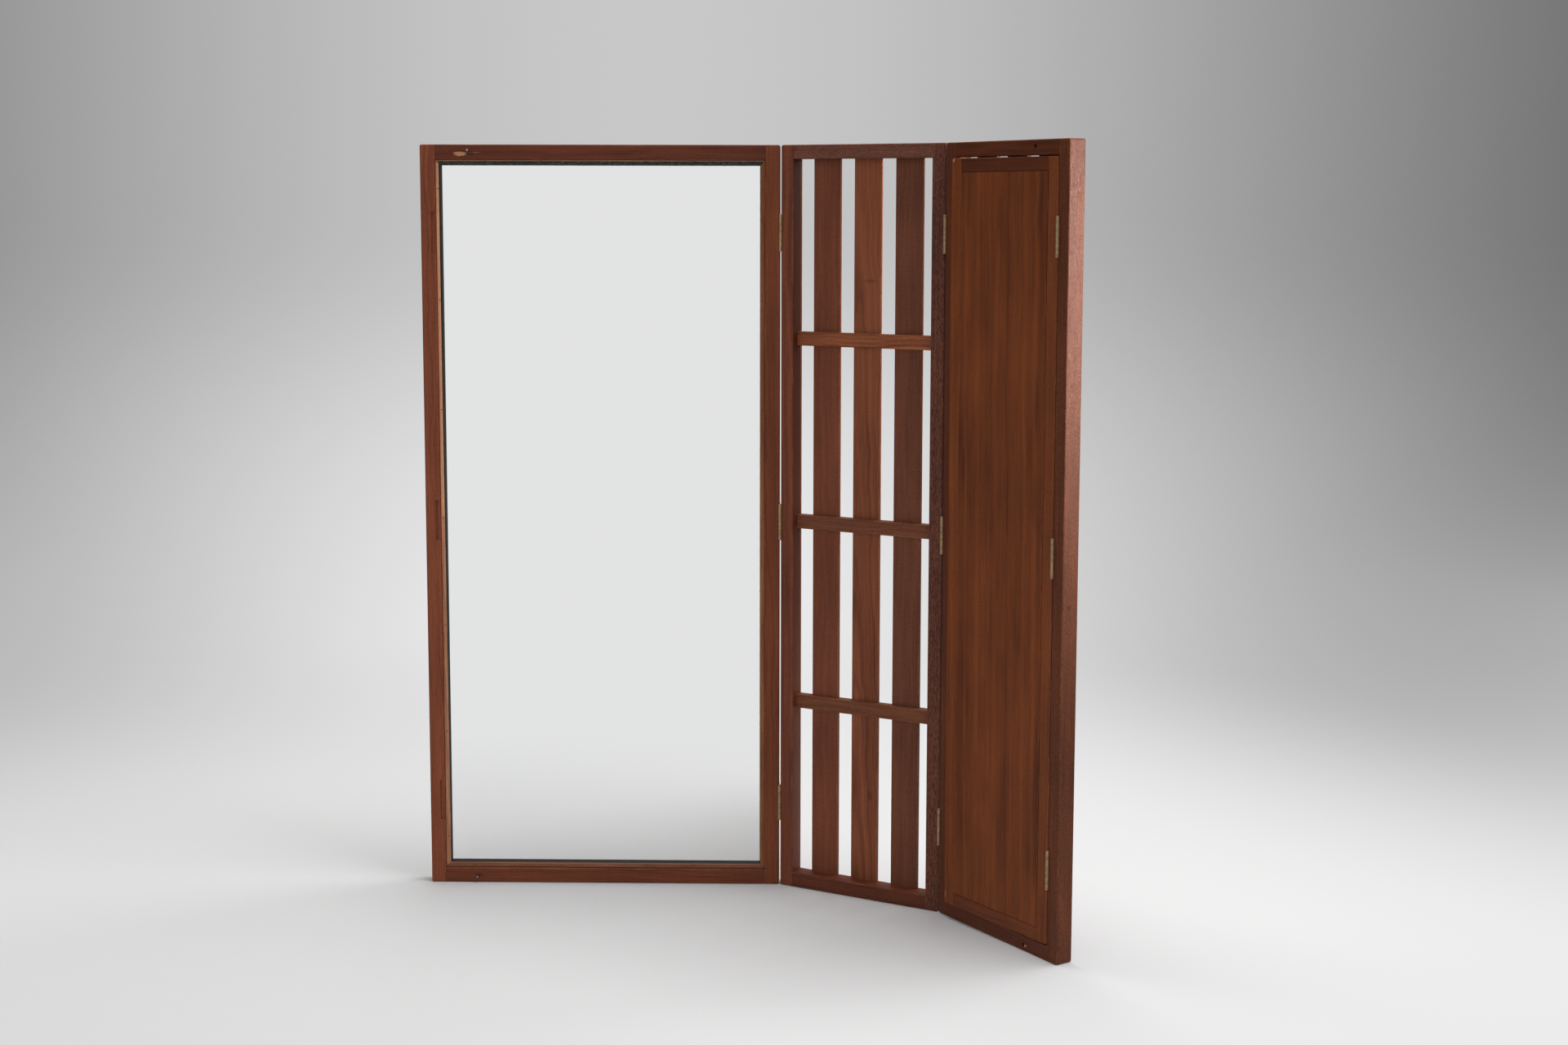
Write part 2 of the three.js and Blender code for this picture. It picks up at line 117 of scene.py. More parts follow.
class Finish:
    def __init__(self, owner):
        owner.use_nodes = True
        self.owner = owner
        self.tree = owner.node_tree
        self.tree.nodes.clear()

    def node(self, kind, settings=None, sockets=None, out=0):
        made = self.tree.nodes.new("ShaderNode" + kind)
        for name, value in (settings or {}).items():
            setattr(made, name, value)
        for name, value in (sockets or {}).items():
            if isinstance(value, Socket):
                self.tree.links.new(value.socket, made.inputs[name])
            else:
                made.inputs[name].default_value = value
        return Socket(self, made.outputs[out])

    def math(self, operation, *values):
        return self.node("Math", {"operation": operation}, dict(enumerate(values)))

    def clamp(self, value):
        return self.node("Math", {"operation": "ADD", "use_clamp": True}, {0: value, 1: 0.0})

    def mix(self, factor, low, high, blend="MIX"):
        settings = {"data_type": "RGBA", "blend_type": blend}
        return self.node("Mix", settings, {0: factor, 6: low, 7: high}, out=2)

    def fade(self, value, start, end, low=0.0, high=1.0):
        sockets = {"Value": value, "From Min": start, "From Max": end, "To Min": low, "To Max": high}
        return self.node("MapRange", {"interpolation_type": "SMOOTHSTEP"}, sockets)

    def ray(self, kind):
        return self.node("LightPath", None, None, out=kind)

    def place(self):
        return self.node("TexCoord", None, None, out="Object")

    def parts(self, vector):
        first = self.node("SeparateXYZ", None, {0: vector})
        return [Socket(self, output) for output in first.socket.node.outputs]

    def point(self, x, y, z):
        return self.node("CombineXYZ", None, {0: x, 1: y, 2: z})

    def grey(self, level):
        return self.point(level, level, level)

    def stretch(self, vector, scale, shift=(0, 0, 0)):
        return self.node("Mapping", None, {"Vector": vector, "Scale": scale, "Location": shift})

    def noise(self, vector, scale=1.0, detail=2.0, roughness=0.5):
        sockets = {"Vector": vector, "Scale": scale, "Detail": detail, "Roughness": roughness}
        return self.node("TexNoise", None, sockets)

    def noiseAlong(self, value, detail=2.0, roughness=0.5):
        sockets = {"W": value, "Scale": 1.0, "Detail": detail, "Roughness": roughness}
        return self.node("TexNoise", {"noise_dimensions": "1D"}, sockets)

    def bump(self, height, strength, distance):
        return self.node("Bump", None, {"Strength": strength, "Distance": distance, "Height": height})

    def link(self, shader, kind):
        made = self.tree.nodes.new("ShaderNode" + kind)
        self.tree.links.new(shader.socket, made.inputs[0])


def linearChannel(value):
    # the usual curve from screen values to light
    return value / 12.92 if value <= 0.04045 else ((value + 0.055) / 1.055) ** 2.4


def linear(red, green, blue):
    return (*(linearChannel(channel / 255) for channel in (red, green, blue)), 1.0)


def newFinish(name):
    return Finish(bpy.data.materials.new(name))


def principled(finish, sockets):
    finish.link(finish.node("BsdfPrincipled", None, sockets), "OutputMaterial")
    return finish.owner


# Studio: a pale floor, a grey wall painted in the world, and soft lamps. The wall is brightest behind the
# part and darker to both sides, and it is pale again in front. Bearings and widths are in degrees, and a
# pair of numbers is where a fade starts and ends
studio = {
    "ambient": 0.08,
    "frontGlow": 1.32,
    "glowDepths": (-0.1, -0.8),
    "glowHeights": (0.8, 0.1),
    "wallBehind": 0.575,
    "wallCorner": 0.05,
    "wallInFront": 0.82,
    "brightest": -4.4,
    "humpWidth": 20,
    "humpEnd": 60,
    "frontStarts": (26, 80),
    "flagWidth": 50,
}


def bearing(finish, x, y):
    return finish.math("ARCTAN2", x, y) * (180 / math.pi)


def wallTone(finish, seen, around, frontStarts=studio["frontStarts"], lift=1.0):
    away = finish.math("MINIMUM", finish.math("ABSOLUTE", seen - studio["brightest"]), studio["humpEnd"])
    hump = finish.math("EXPONENT", away * away * (-1 / studio["humpWidth"] ** 2))
    behind = (hump * (studio["wallBehind"] - studio["wallCorner"]) + studio["wallCorner"]) * lift
    # black flags stand at the sides, which only reflections show
    flags = finish.ray("Is Glossy Ray") * studio["flagWidth"]
    front = finish.fade(finish.math("ABSOLUTE", around) - flags, *frontStarts)
    return behind + (studio["wallInFront"] - behind) * front


def seenDirectly(finish):
    names = ("Is Camera Ray", "Is Glossy Ray", "Is Transmission Ray")
    rays = [finish.ray(name) for name in names]
    return finish.clamp(rays[0] + rays[1] + rays[2])


def makeWorld():
    world = bpy.data.worlds.new("studio")
    scene.world = world
    finish = Finish(world)
    direction = finish.node("TexCoord", None, None, out="Generated")
    x, y, z = finish.parts(direction)
    angle = bearing(finish, x, y)
    tone = wallTone(finish, angle, angle)
    wall = finish.node("Background", None, {"Color": finish.grey(tone), "Strength": 1.0})
    glow = finish.fade(y, *studio["glowDepths"]) * finish.fade(z, *studio["glowHeights"])
    strength = glow * studio["frontGlow"] + studio["ambient"]
    ambient = finish.node("Background", None, {"Color": (1, 1, 1, 1), "Strength": strength})
    chosen = finish.node("MixShader", None, {0: seenDirectly(finish), 1: ambient, 2: wall})
    finish.link(chosen, "OutputWorld")


# Floor, in metres: lit by the lamps round the part, and farther out painted in the tone of the wall that it
# meets, so that no line shows in the photograph's view. Near the part its pale front starts farther round
floorLook = {
    "reach": 400,
    "drop": 0.0003,
    "paint": (0.655, 0.655, 0.655, 1.0),
    "oval": (1.8, 1.5),
    "paintedFrom": (0.5, 2.3),
    "lift": 0.5,
    "liftReach": 9.5,
    "near": (4, 1.8),
    "frontStartsNear": (30, 105),
    "mirroredFrom": (-0.25, -0.85),
}


def floorFinish():
    finish = newFinish("pale floor")
    x, y, z = finish.parts(finish.place())
    wide, deep = floorLook["oval"]
    reachOut = finish.math("SQRT", x * x * wide + y * y * deep)
    spread = reachOut / floorLook["liftReach"]
    lift = 1 + floorLook["lift"] / (spread * spread + 1)
    seen = bearing(finish, x - view["place"][0], y - view["place"][1])
    glossy = finish.ray("Is Glossy Ray")
    near = finish.fade(reachOut, *floorLook["near"]) * (1 - glossy)
    edges = zip(studio["frontStarts"], floorLook["frontStartsNear"])
    frontStarts = [near * (close - far) + far for far, close in edges]
    tone = wallTone(finish, seen, bearing(finish, x, y), frontStarts, lift)
    lit = finish.node("BsdfDiffuse", None, {"Color": floorLook["paint"]})
    painted = finish.node("Emission", None, {"Color": finish.grey(tone)})
    inMirror = glossy * finish.fade(y, *floorLook["mirroredFrom"])
    farOut = finish.fade(reachOut, *floorLook["paintedFrom"]) * seenDirectly(finish)
    blend = finish.math("MAXIMUM", farOut, inMirror)
    finish.link(finish.node("MixShader", None, {0: blend, 1: lit, 2: painted}), "OutputMaterial")
    return finish.owner


def makeFloor():
    mesh = bpy.data.meshes.new("floor")
    reach = floorLook["reach"]
    drop = -floorLook["drop"]
    corners = [(-reach, -reach, drop), (reach, -reach, drop), (reach, reach, drop), (-reach, reach, drop)]
    mesh.from_pydata(corners, [], [range(len(corners))])
    mesh.materials.append(floorFinish())
    floor = bpy.data.objects.new("floor", mesh)
    scene.collection.objects.link(floor)


# Lamps, with places and sizes in metres, spreads in degrees and power in watts
lamps = {
    "side spot": {
        "place": (2.6, -0.9, 0.9),
        "aim": (0.6, -0.32, 0.86),
        "size": (0.4, 0.4),
        "spread": 28,
        "power": 3.3,
    },
    "back right": {
        "place": (3.0, 1.2, 2.2),
        "aim": (0.6, -0.6, 0.0),
        "size": (1.8, 1.8),
        "spread": 180,
        "power": 38,
    },
    "overhead": {
        "place": (0.6, 0.07, 3.4),
        "aim": (0.4, -0.2, 0.0),
        "size": (3.2, 1.6),
        "spread": 180,
        "power": 138,
    },
}


def addLamps():
    for name, lamp in lamps.items():
        data = bpy.data.lights.new(name, "AREA")
        data.shape = "RECTANGLE"
        data.size, data.size_y = lamp["size"]
        data.energy = lamp["power"]
        data.spread = math.radians(lamp["spread"])
        lampObject = bpy.data.objects.new(name, data)
        lampObject.location = lamp["place"]
        aim = Vector(lamp["aim"]) - Vector(lamp["place"])
        lampObject.rotation_euler = aim.to_track_quat("-Z", "Y").to_euler()
        lampObject.visible_camera = False
        scene.collection.objects.link(lampObject)


makeWorld()
makeFloor()
addLamps()
print("studio ready:", len(lamps), "lamps")


# How far each of the four leaves is turned, in degrees: at its joint's lower limit a leaf is in line with
# the leaf that it hangs on
def leafTurns():
    turned = {"mirror_panel": 0}
    for joint in frame["joints"]:
        fromFlat = -joint["range_deg"][0] * joint["axis"][2]
        turned[joint["child"]] = turned[joint["parent"]] + fromFlat
    return turned


turns = leafTurns()


def leafMatrix(body):
    return Matrix.Rotation(math.radians(turns[body]), 4, "Z")


def leafCorners(node):
    # in mm, turned back so that the leaf faces the front
    facingFront = leafMatrix(node["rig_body"]).inverted()
    return [facingFront @ vertex.co / mm for vertex in node.data.vertices]


def leafBox(node):
    corners = leafCorners(node)
    low = Vector(min(corner[i] for corner in corners) for i in range(3))
    high = Vector(max(corner[i] for corner in corners) for i in range(3))
    return low, high


def boardPoint(finish, node, along):
    # in mm from the middle of the board, with z along its grain
    body = node["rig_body"]
    low, high = leafBox(node)
    size = (high - low) / 2
    half = (size.z, size.y, size.x) if along == "level" else (size.x, size.y, size.z)
    tip = math.pi / 2 if along == "level" else 0
    sockets = {
        "Vector": finish.place(),
        "Location": leafMatrix(body) @ ((low + high) / 2 * mm),
        "Rotation": (0, tip, math.radians(turns[body])),
        "Scale": (mm, mm, mm),
    }
    return finish.node("Mapping", {"vector_type": "TEXTURE"}, sockets), half


# Teak boards: mid is the middle tone, swing how far the rings move it, speckle how strong the pores are,
# pith where the tree's middle lies from the board's, in mm, and top how much paler the board's top is.
# A board takes from plainWood what it doesn't say itself
plainWood = {"wander": 20, "wide": 1, "taper": 0.01, "pore size": 1, "cloud": 0.8, "top": 0, "worn": 0.45}
woods = {
    "mirror_left_stile": {"mid": (118, 60, 38), "swing": 0.3, "speckle": 0.35, "pith": (-70, 60)},
    "mirror_right_stile": {"mid": (102, 50, 27), "swing": 0.35, "speckle": 0.3, "pith": (-45, 80)},
    "mirror_top_rail": {"mid": (86, 39, 22), "swing": 0.3, "speckle": 0.3, "pith": (-80, 50)},
    "mirror_bottom_rail": {"mid": (100, 49, 28), "swing": 0.35, "speckle": 0.35, "pith": (60, 60)},
    "mirror_back_panel": {
        "mid": (106, 52, 30),
        "swing": 0.5,
        "speckle": 0.3,
        "pith": (-210, 90),
        "wide": 2,
        "wander": 8,
    },
    "middle_left_stile": {
        "mid": (106, 54, 35),
        "swing": 0.4,
        "speckle": 0.45,
        "pith": (-50, 50),
        # the colour of the painted shade on the side next to the slats
        "painted shade facing slats": (70, 28, 8),
    },
    "middle_right_stile": {
        "mid": (91, 49, 35),
        "swing": 0.3,
        "speckle": 0.9,
        "pith": (90, 40),
        "pore size": 2,
    },
    "middle_top_rail": {
        "mid": (102, 60, 46),
        "swing": 0.3,
        "speckle": 0.6,
        "pith": (-70, 60),
        "pore size": 1.5,
    },
    "middle_bottom_rail": {"mid": (94, 46, 27), "swing": 0.3, "speckle": 0.4, "pith": (-70, 60)},
    "middle_crossbar_top": {"mid": (128, 70, 42), "swing": 0.8, "speckle": 0.4, "pith": (-40, 40)},
    "middle_crossbar_centre": {"mid": (104, 58, 38), "swing": 0.35, "speckle": 0.5, "pith": (70, 50)},
    "middle_crossbar_bottom": {"mid": (104, 58, 36), "swing": 0.35, "speckle": 0.5, "pith": (60, 70)},
    "middle_slat_left": {"mid": (110, 58, 38), "swing": 0.3, "speckle": 0.55, "pith": (-90, 70)},
    "middle_slat_centre": {
        "mid": (113, 60, 37),
        "swing": 0.5,
        "speckle": 0.35,
        "pith": (-14, 16),
        "taper": 0.03,
        "top": 0.32,
    },
    "middle_slat_right": {"mid": (102, 56, 37), "swing": 0.3, "speckle": 0.6, "pith": (80, 90)},
    "outer_left_stile": {"mid": (88, 42, 22), "swing": 0.3, "speckle": 0.3, "pith": (-60, 60)},
    "outer_right_stile": {"mid": (92, 46, 24), "swing": 0.25, "speckle": 0.8, "pith": (-120, 90)},
    "outer_top_rail": {"mid": (84, 38, 17), "swing": 0.3, "speckle": 0.3, "pith": (-60, 50)},
    "outer_bottom_rail": {"mid": (90, 44, 26), "swing": 0.3, "speckle": 0.3, "pith": (-60, 70)},
    "outer_slat": {"mid": (102, 54, 35), "swing": 0.4, "speckle": 0.5, "pith": (-70, 60)},
    "outer_crossbar": {"mid": (100, 54, 34), "swing": 0.4, "speckle": 0.4, "pith": (-70, 60)},
    "door_free_stile": {
        "mid": (112, 55, 21),
        "swing": 0.3,
        "speckle": 0.35,
        "pith": (-60, 40),
        "wander": 8,
    },
    "door_hinge_stile": {
        "mid": (112, 56, 25),
        "swing": 0.3,
        "speckle": 0.4,
        "pith": (50, 70),
        "wander": 8,
    },
    "door_top_rail": {"mid": (84, 38, 16), "swing": 0.3, "speckle": 0.3, "pith": (-60, 60)},
    "door_bottom_rail": {"mid": (101, 50, 25), "swing": 0.3, "speckle": 0.35, "pith": (-70, 60)},
    "door_panel": {
        "mid": (107, 52, 20),
        "swing": 0.5,
        "speckle": 0.35,
        "pith": (-130, 60),
        "wide": 3,
        "wander": 12,
        "cloud": 1.3,
    },
    # The beads' middle tones are painted light: the left and top beads are pale where light catches them,
    # and the left one is paler towards its top
    "bead_left": {
        "mid": (172, 118, 88),
        "swing": 0.4,
        "speckle": 0.3,
        "pith": (-30, 40),
        "worn": 0.2,
        "top": 0.8,
    },
    "bead_bottom": {"mid": (126, 80, 60), "swing": 0.4, "speckle": 0.3, "pith": (-30, 40), "worn": 0.2},
    "bead_right": {"mid": (130, 74, 42), "swing": 0.4, "speckle": 0.2, "pith": (-30, 40), "worn": 0.2},
    "bead_top": {"mid": (170, 128, 96), "swing": 0.4, "speckle": 0.3, "pith": (-30, 40), "worn": 0.2},
}

# What all the teak shares. Each texture has its scale per mm across, through and along the board, where it
# starts, how far it moves from board to board, and the noise's detail and roughness
textures = {
    "streaks": {"scale": (0.7, 0.7, 0.012), "start": (0, 2.1, 0), "step": (1, 0, 0), "look": (5, 0.7)},
    "pores": {"scale": (1.9, 1.9, 0.42), "start": (0, 0, 5), "step": (0, 1, 0), "look": (3, 0.75)},
    "cloud": {"scale": (0.02, 0.02, 0.006), "start": (0, 0, 0), "step": (3, 0, 0), "look": (2, 0.5)},
    "rub": {"scale": (0.3, 0.3, 0.04), "start": (9, 0, 0), "step": (0, 0, 1), "look": (4, 0.7)},
}

# How the textures darken or lighten the wood, with sizes in mm. A pair is where a fade starts and ends
grain = {
    "drift": 0.006,
    "drift step": 7.3,
    "ring step": 13,
    "bands": 0.2,
    "lines": 0.9,
    "lines start": 31,
    "line edges": (0.56, 0.74),
    "pore edges": (0.48, 0.62),
    "fleck edges": (0.5, 0.36),
    "band swing": 2.4,
    "streak swing": 0.9,
    "top starts": -0.4,
    "dark": (0.52, 0.46, 0.44),
    "light": (1.62, 1.74, 1.74),
    "shade": 1.08,
    "pore shade": -0.72,
    "fleck shade": 0.34,
    "line shade": 0.34,
    "worn edge": (1.3, 0.2),
    "worn patches": (0.42, 0.7),
    "worn colour": (176, 116, 84),
    "face edge": (1.5, 0.5),
    "bump": {"strength": 0.4, "distance": 0.2 * mm},
    "bump of streaks": 0.5,
    "bump of lines": 0.2,
    "roughness": 0.45,
    "streak roughness": 0.12,
    "pore roughness": 0.15,
    "specular": 0.19,
}


def boardNoise(finish, point, kind, seed, fine=1):
    texture = textures[kind]
    scale = [size * fine for size in texture["scale"]]
    shift = [start + step * seed for start, step in zip(texture["start"], texture["step"])]
    detail, roughness = texture["look"]
    return finish.noise(finish.stretch(point, scale, shift), detail=detail, roughness=roughness)


def tinted(colour, factors):
    return (*(channel * factor for channel, factor in zip(colour, factors)), 1)


def growthRings(finish, point, wood, seed):
    # how far each point lies from the tree's middle, which wanders along the board
    x, y, z = finish.parts(point)
    drift = finish.noiseAlong(z * grain["drift"] + seed * grain["drift step"], detail=3)
    ringX = x - wood["pith"][0] + (drift - 0.5) * wood["wander"]
    ringY = y - wood["pith"][1]
    fromPith = finish.math("SQRT", ringX * ringX + ringY * ringY)
    return fromPith + z * wood["taper"] + seed * grain["ring step"]


def teak(node, wood, along, seed):
    finish = newFinish("teak_" + node.name)
    point, half = boardPoint(finish, node, along)
    x, y, z = finish.parts(point)
    across = x * -1 if along == "level" else x

    ring = growthRings(finish, point, wood, seed)
    bands = finish.noiseAlong(ring * (grain["bands"] / wood["wide"]), detail=4, roughness=0.6)
    lineNoise = finish.noiseAlong(ring * grain["lines"] + grain["lines start"])
    lines = finish.fade(lineNoise, *grain["line edges"])
    streaks = boardNoise(finish, point, "streaks", seed)
    pores = boardNoise(finish, point, "pores", seed, 1 / wood["pore size"])
    poreMask = finish.fade(pores, *grain["pore edges"])
    flecks = finish.fade(pores, *grain["fleck edges"])
    cloud = boardNoise(finish, point, "cloud", seed)

    # the middle tone moves towards dark or light, and pores and ring lines darken it
    swing = wood["swing"]
    tone = (bands - 0.5) * (grain["band swing"] * swing)
    tone = tone + (streaks - 0.5) * (grain["streak swing"] + swing)
    tone = tone + (cloud - 0.5) * wood["cloud"] + 0.5
    tone = tone + finish.fade(z, half[2] * grain["top starts"], half[2], 0, wood["top"])
    mid = linear(*wood["mid"])
    colour = finish.mix(finish.clamp(tone), tinted(mid, grain["dark"]), tinted(mid, grain["light"]))
    speckle = poreMask * grain["pore shade"] + flecks * grain["fleck shade"]
    shade = grain["shade"] + speckle * wood["speckle"] - lines * (grain["line shade"] * swing)
    colour = finish.mix(1.0, colour, finish.grey(shade), "MULTIPLY")

    # painted shade on the middle left stile's side next to the slats
    if "painted shade facing slats" in wood:
        colour = slatSide(finish, x, z, half, colour, wood["painted shade facing slats"])
    # painted shade along the beads' inner edges and seams
    if "bead" in node.name:
        colour = beadEdges(finish, node.name, (across, y, z), half, colour)
    rub = boardNoise(finish, point, "rub", seed)
    edge = finish.math("MAXIMUM", half[0] - finish.math("ABSOLUTE", x), half[1] - finish.math("ABSOLUTE", y))
    worn = finish.fade(edge, *grain["worn edge"]) * finish.fade(rub, *grain["worn patches"])
    colour = finish.mix(worn * wood["worn"], colour, linear(*grain["worn colour"]))
    # marks, among them painted shadow and painted highlights
    colour = addMarks(finish, node.name, (x, across, y, z), half, rub, colour)

    height = streaks * grain["bump of streaks"] - poreMask - lines * grain["bump of lines"]
    roughness = grain["roughness"] + streaks * grain["streak roughness"] + poreMask * grain["pore roughness"]
    sockets = {
        "Base Color": colour,
        "Roughness": roughness,
        "Normal": finish.bump(height, **grain["bump"]),
        "Specular IOR Level": grain["specular"],
    }
    return principled(finish, sockets)


# The middle shutter's left stile gets painted shade on its side next to the slats, most of all at its top,
# where no light from the floor reaches it. Heights are shares of half the stile, measured from its middle
slatShade = {"edge": (0.6, 0.3), "heights": (-0.9, 0.7), "much": (0.1, 0.85)}


def slatSide(finish, x, z, half, colour, dark):
    onSide = finish.fade(x, *(half[0] - edge for edge in slatShade["edge"]))
    heights = [half[2] * share for share in slatShade["heights"]]
    much = onSide * finish.fade(z, *heights, *slatShade["much"])
    return finish.mix(much, colour, linear(*dark))


# Beads, in mm: a dark line of painted shade where the bead meets the frame, and a dark inner side against
# the glass with a dark band on the front beside it, both painted shade. Most of the top bead, in its rail's
# shade, is painted dark greenish grey with a pale mottle. lit is how far inward from the middle the front
# stays bright, at the lower and at the upper end
beadLook = {
    "seam": 0.6,
    "seam edge": (0.7, 0.3),
    "seam colour": (84, 40, 30),
    "inner edge": (0, 0.5),
    "side edge": (2.4, 2.9),
    "shadeMottle scale": (0.9, 0.9, 0.25),
    "shadeMottle edges": (0.5, 0.68),
    "shadeMottle colour": (150, 148, 136),
}
# inner is the colour of the painted shade on each bead's inner edge, and the top bead's has a pale mottle
beads = {
    "bead_left": {"lit": (2.5, 0.7), "inner": (30, 32, 27), "shadeMottle": 0, "inward": 1},
    "bead_top": {"lit": (-2.1, -2.1), "inner": (38, 42, 36), "shadeMottle": 0.4, "inward": -1},
    "bead_bottom": {"lit": (2.6, 2.6), "inner": (40, 32, 26), "shadeMottle": 0, "inward": 1},
    "bead_right": {"lit": (2.4, 2.4), "inner": (112, 98, 80), "shadeMottle": 0, "inward": -1},
}


def beadEdges(finish, name, place, half, colour):
    across, y, z = place
    bead = beads[name]
    inward = across * bead["inward"]
    # painted shade: a dark line along the seam, and the inner side and the front inward of lit
    seam = finish.fade(inward, *(edge - half[0] for edge in beadLook["seam edge"]))
    colour = finish.mix(seam * beadLook["seam"], colour, linear(*beadLook["seam colour"]))
    lit = finish.fade(z, -half[2], half[2], *bead["lit"])
    side = finish.fade(y, *(edge - half[1] for edge in beadLook["side edge"]))
    inner = finish.math("MAXIMUM", finish.fade(inward - lit, *beadLook["inner edge"]), side)
    shadeMottlePoint = finish.stretch(finish.point(across, y, z), beadLook["shadeMottle scale"])
    shadeMottle = finish.fade(finish.noise(shadeMottlePoint, detail=4, roughness=0.7), *beadLook["shadeMottle edges"])
    innerColour = finish.mix(shadeMottle * bead["shadeMottle"], linear(*bead["inner"]), linear(*beadLook["shadeMottle colour"]))
    return finish.mix(inner, colour, innerColour)


# Marks, in mm from the middle of the board's front or side, with the place along the grain last: wear, a
# scratch, knots and a chip, and painted light, that is painted shadow beside the steel pins on the mirror's
# rails and painted highlights at the door's free corners
marks = {
    "mirror_top_rail": [
        {"at": (-2.3, -184.1), "reach": (3.3, 8.5), "colour": (186, 132, 92), "much": 0.85},
        {"at": (-0.6, -165.5), "reach": (0.6, 12), "colour": (150, 100, 72), "much": 0.6},
        # painted shadow beside the steel pin
        {"at": (-1.0, -171.0), "reach": (4, 5), "colour": (40, 18, 12), "much": 0.5},
    ],
    "mirror_bottom_rail": [
        # painted shadow beside the steel pin
        {"at": (0.6, -171), "reach": (2.6, 6), "colour": (38, 18, 12), "much": 0.5},
        {"at": (1.5, -177), "reach": (1.4, 2.2), "colour": (34, 16, 10), "much": 0.6},
    ],
    "middle_slat_centre": [
        {"at": (5, 323), "reach": (9, 2.2), "colour": (62, 34, 26), "much": 0.4},
        {"at": (9, -363), "reach": (4, 7), "colour": (56, 30, 24), "much": 0.4},
    ],
    "outer_right_stile": [
        {"at": (-1.7, -58), "reach": (1.6, 3.4), "colour": (58, 22, 14), "much": 0.8, "side": True},
    ],
    "outer_bottom_rail": [
        {"at": (-2.6, 59), "reach": (1.3, 1.8), "colour": (196, 160, 132), "much": 0.9},
    ],
    "door_free_stile": [
        # painted highlights at the door's upper and lower free corners
        {"at": (-8, 477), "reach": (2.2, 2.4), "colour": (190, 140, 96), "much": 0.8},
        {"at": (-8.5, -468), "reach": (1.6, 5), "colour": (150, 104, 76), "much": 0.6},
    ],
}
markEdge = {"ragged": 2.2, "fade": (1.15, 0.7)}


def spot(finish, across, along, mark, rough):
    u = (across - mark["at"][0]) / mark["reach"][0]
    v = (along - mark["at"][1]) / mark["reach"][1]
    far = finish.math("SQRT", u * u + v * v) + (rough - 0.5) * markEdge["ragged"]
    return finish.fade(far, *markEdge["fade"]) * mark["much"]


def addMarks(finish, name, place, half, rub, colour):
    x, across, y, z = place
    start, end = grain["face edge"]
    onFront = finish.fade(y, start - half[1], end - half[1])
    onSide = finish.fade(x, half[0] - start, half[0] - end)
    for mark in marks.get(name, []):
        if "side" in mark:
            mask = spot(finish, y, z, mark, rub) * onSide
        else:
            mask = spot(finish, across, z, mark, rub) * onFront
        colour = finish.mix(mask, colour, linear(*mark["colour"]))
    return colour


# Silvered glass, dark and mottled where the silver has gone along the edges that show. hidden is how much of
# the glass its frame covers, in mm
glasses = {
    "mirror_glass": {"finish": "silvered_glass", "hidden": 6.3},
    "door_glass": {"finish": "silvered_door_glass", "hidden": 4},
}
silver = {
    "colour": (0.93, 0.935, 0.935, 1),
    "gone colour": (42, 46, 40),
    "gone edge": (0.9, 0.4),
    "mottle scale": (0.35, 0.35, 0.35),
    "mottle": 0.8,
    "metal lost": 0.6,
    "roughness": 0.012,
    "gone roughness": 0.35,
}


def mirrorFinish(node, glass):
    finish = newFinish(glass["finish"])
    point, half = boardPoint(finish, node, "upright")
    x, y, z = finish.parts(point)
    ageing = finish.noise(finish.stretch(point, silver["mottle scale"]), detail=5, roughness=0.7)
    fromSide = half[0] - glass["hidden"] - finish.math("ABSOLUTE", x)
    fromEnd = half[2] - glass["hidden"] - finish.math("ABSOLUTE", z)
    inset = finish.math("MINIMUM", fromSide, fromEnd) + (ageing - 0.5) * silver["mottle"]
    gone = finish.fade(inset, *silver["gone edge"])
    sockets = {
        "Base Color": finish.mix(gone, silver["colour"], linear(*silver["gone colour"])),
        "Metallic": 1 - gone * silver["metal lost"],
        "Roughness": gone * silver["gone roughness"] + silver["roughness"],
    }
    return principled(finish, sockets)


# Metals: two tones in patches, whose scale is per mm, and a finer unevenness
metals = {
    "aged_brass": {
        "bright": (172, 144, 108),
        "dull": (138, 112, 82),
        "scale": 0.25,
        "metallic": 0.6,
        "roughness": 0.4,
    },
    "worn_steel": {
        "bright": (150, 132, 128),
        "dull": (96, 84, 82),
        "scale": 0.8,
        "metallic": 0.8,
        "roughness": 0.3,
    },
    "dark_brads": {
        "bright": (74, 58, 50),
        "dull": (38, 28, 24),
        "scale": 0.8,
        "metallic": 0.5,
        "roughness": 0.4,
    },
}
patina = {
    "edges": (0.35, 0.65),
    "finer": 6,
    "roughness": 0.25,
    "bump": {"strength": 0.25, "distance": 0.1 * mm},
}


def metalFinish(name):
    metal = metals[name]
    finish = newFinish(name)
    point = finish.stretch(finish.place(), (1 / mm, 1 / mm, 1 / mm))
    tarnish = finish.noise(point, metal["scale"], detail=5, roughness=0.65)
    fine = finish.noise(point, metal["scale"] * patina["finer"], detail=3)
    patches = finish.fade(tarnish, *patina["edges"])
    sockets = {
        "Base Color": finish.mix(patches, linear(*metal["bright"]), linear(*metal["dull"])),
        "Metallic": metal["metallic"],
        "Roughness": metal["roughness"] + tarnish * patina["roughness"],
        "Normal": finish.bump(fine, **patina["bump"]),
    }
    return principled(finish, sockets)


brass = metalFinish("aged_brass")
steel = metalFinish("worn_steel")
brad = metalFinish("dark_brads")


def woodOf(name):
    # the outer shutter's slats and crossbars are each alike
    for group in ("outer_slat", "outer_crossbar"):
        if name.startswith(group):
            name = group
    return {**plainWood, **woods[name]}


def grainOf(name):
    levelBoards = ("rail", "crossbar", "bead_top", "bead_bottom")
    return "level" if any(word in name for word in levelBoards) else "upright"


